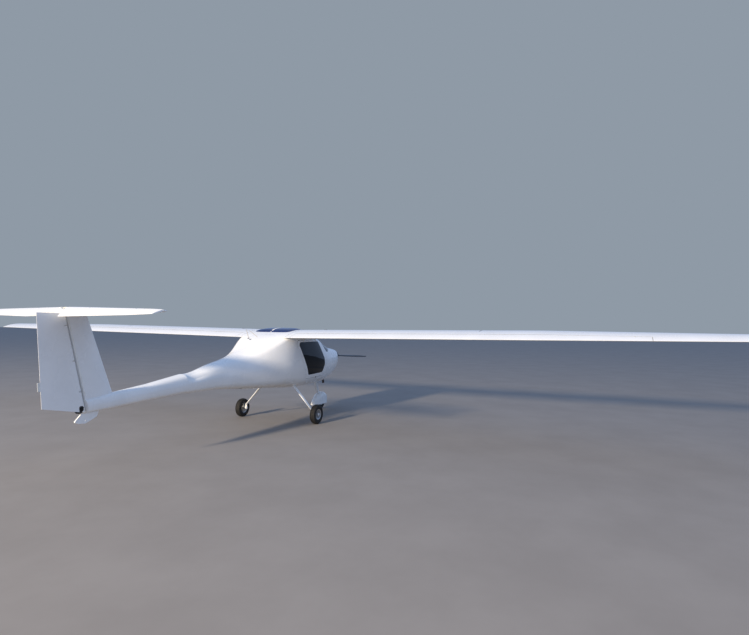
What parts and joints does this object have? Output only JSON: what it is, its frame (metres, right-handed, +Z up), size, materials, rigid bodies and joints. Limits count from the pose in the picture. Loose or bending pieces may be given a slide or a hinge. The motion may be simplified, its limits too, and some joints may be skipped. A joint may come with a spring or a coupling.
{
  "type": "microlight aircraft",
  "caption": "High-wing microlight aeroplane with a slender tail boom, T-tail, nosewheel gear, doors and an enclosed side-by-side cabin.",
  "frame": {"origin": "on the floor plane, under the middle of the whole aircraft's box; the main wheels' axle line is 1.1335 m ahead of it", "axes": "+X forward along the body, +Y to the aircraft's left along the wing, +Z up"},
  "size_m": [6.6582, 14.97, 1.91],
  "materials": {
    "airframe_white": "glossy white gelcoat",
    "window_tint": "dark tinted acrylic",
    "roof_tint": "dark blue tinted acrylic",
    "engine_metal": "cast and painted metal",
    "steel_sheet": "bare sheet steel",
    "exhaust_steel": "heat darkened steel pipe",
    "prop_black": "gloss black",
    "leg_white": "painted glass fibre",
    "leg_steel": "painted steel tube",
    "alloy": "cast alloy",
    "tyre_black": "matt rubber",
    "cabin_grey": "matt grey laminate",
    "panel_black": "matt black",
    "seat_cloth": "dark grey woven cloth",
    "control_black": "black painted steel"
  },
  "bodies": {
    "airframe": {"fuselage_shell": "airframe_white", "wing_centre": "airframe_white", "wing_left": "airframe_white", "wing_right": "airframe_white", "windscreen": "window_tint", "skylight": "roof_tint", "cowling_upper": "airframe_white", "cowling_lower": "airframe_white", "firewall": "steel_sheet", "engine_block": "engine_metal", "exhaust": "exhaust_steel", "fin": "airframe_white", "tail_rib": "airframe_white", "tailplane": "airframe_white", "tail_skid": "leg_white", "main_leg_left": "leg_white", "main_leg_right": "leg_white", "nose_leg": "leg_steel", "cabin_floor": "cabin_grey", "rear_bulkhead": "cabin_grey", "seat_base": "cabin_grey", "seat_left": "seat_cloth", "seat_right": "seat_cloth", "instrument_panel": "panel_black", "centre_console": "cabin_grey", "control_sticks": "control_black", "rudder_pedals": "control_black"},
    "propeller": {"propeller": "prop_black", "spinner": "prop_black"},
    "main_wheel_left": {"main_rim_left": "alloy", "main_tyre_left": "tyre_black"},
    "main_wheel_right": {"main_rim_right": "alloy", "main_tyre_right": "tyre_black"},
    "nose_steering": {"nose_fork": "leg_steel", "nose_fairing": "airframe_white"},
    "nose_wheel": {"nose_rim": "alloy", "nose_tyre": "tyre_black"},
    "door_left": {"door_frame_left": "airframe_white", "door_window_left": "window_tint"},
    "door_right": {"door_frame_right": "airframe_white", "door_window_right": "window_tint"},
    "flaperon_left": {"flaperon_left": "airframe_white"},
    "flaperon_right": {"flaperon_right": "airframe_white"},
    "rudder": {"rudder": "airframe_white"},
    "elevator": {"elevator": "airframe_white"}
  },
  "joints": [
    {"name": "propeller_spin", "type": "hinge", "parent": "airframe", "child": "propeller", "pos_m": [3.1735, 0, 1.085], "axis": [1, 0, 0], "continuous": true},
    {"name": "main_wheel_left_spin", "type": "hinge", "parent": "airframe", "child": "main_wheel_left", "pos_m": [1.1335, 0.8, 0.17], "axis": [0, 1, 0], "continuous": true},
    {"name": "main_wheel_right_spin", "type": "hinge", "parent": "airframe", "child": "main_wheel_right", "pos_m": [1.1335, -0.8, 0.17], "axis": [0, 1, 0], "continuous": true},
    {"name": "nose_steer", "type": "hinge", "parent": "airframe", "child": "nose_steering", "pos_m": [2.4235, 0, 0.64], "axis": [-0.3964, 0, 0.9181], "range_deg": [-20, 20]},
    {"name": "nose_wheel_spin", "type": "hinge", "parent": "nose_steering", "child": "nose_wheel", "pos_m": [2.6385, 0, 0.142], "axis": [0, 1, 0], "continuous": true},
    {"name": "door_left_open", "type": "hinge", "parent": "airframe", "child": "door_left", "pos_m": [1.07355, 0.56441, 1.46354], "axis": [0.9971, -0.0754, 0.0061], "range_deg": [0, 68]},
    {"name": "door_right_open", "type": "hinge", "parent": "airframe", "child": "door_right", "pos_m": [1.07355, -0.56441, 1.46354], "axis": [-0.9971, -0.0754, -0.0061], "range_deg": [0, 68]},
    {"name": "flaperon_left_move", "type": "hinge", "parent": "airframe", "child": "flaperon_left", "pos_m": [0.8035, 0.566, 1.53039], "axis": [0, 0.9999, 0.0131], "range_deg": [-30, 20]},
    {"name": "flaperon_right_move", "type": "hinge", "parent": "airframe", "child": "flaperon_right", "pos_m": [0.8035, -0.566, 1.53039], "axis": [0, 0.9999, -0.0131], "range_deg": [-30, 20]},
    {"name": "rudder_move", "type": "hinge", "parent": "airframe", "child": "rudder", "pos_m": [-2.7925, 0, 0.774], "axis": [-0.2399, 0, 0.9708], "range_deg": [-25, 25]},
    {"name": "elevator_move", "type": "hinge", "parent": "airframe", "child": "elevator", "pos_m": [-3.0165, 0, 1.862], "axis": [0, 1, 0], "range_deg": [-4, 40]}
  ]
}
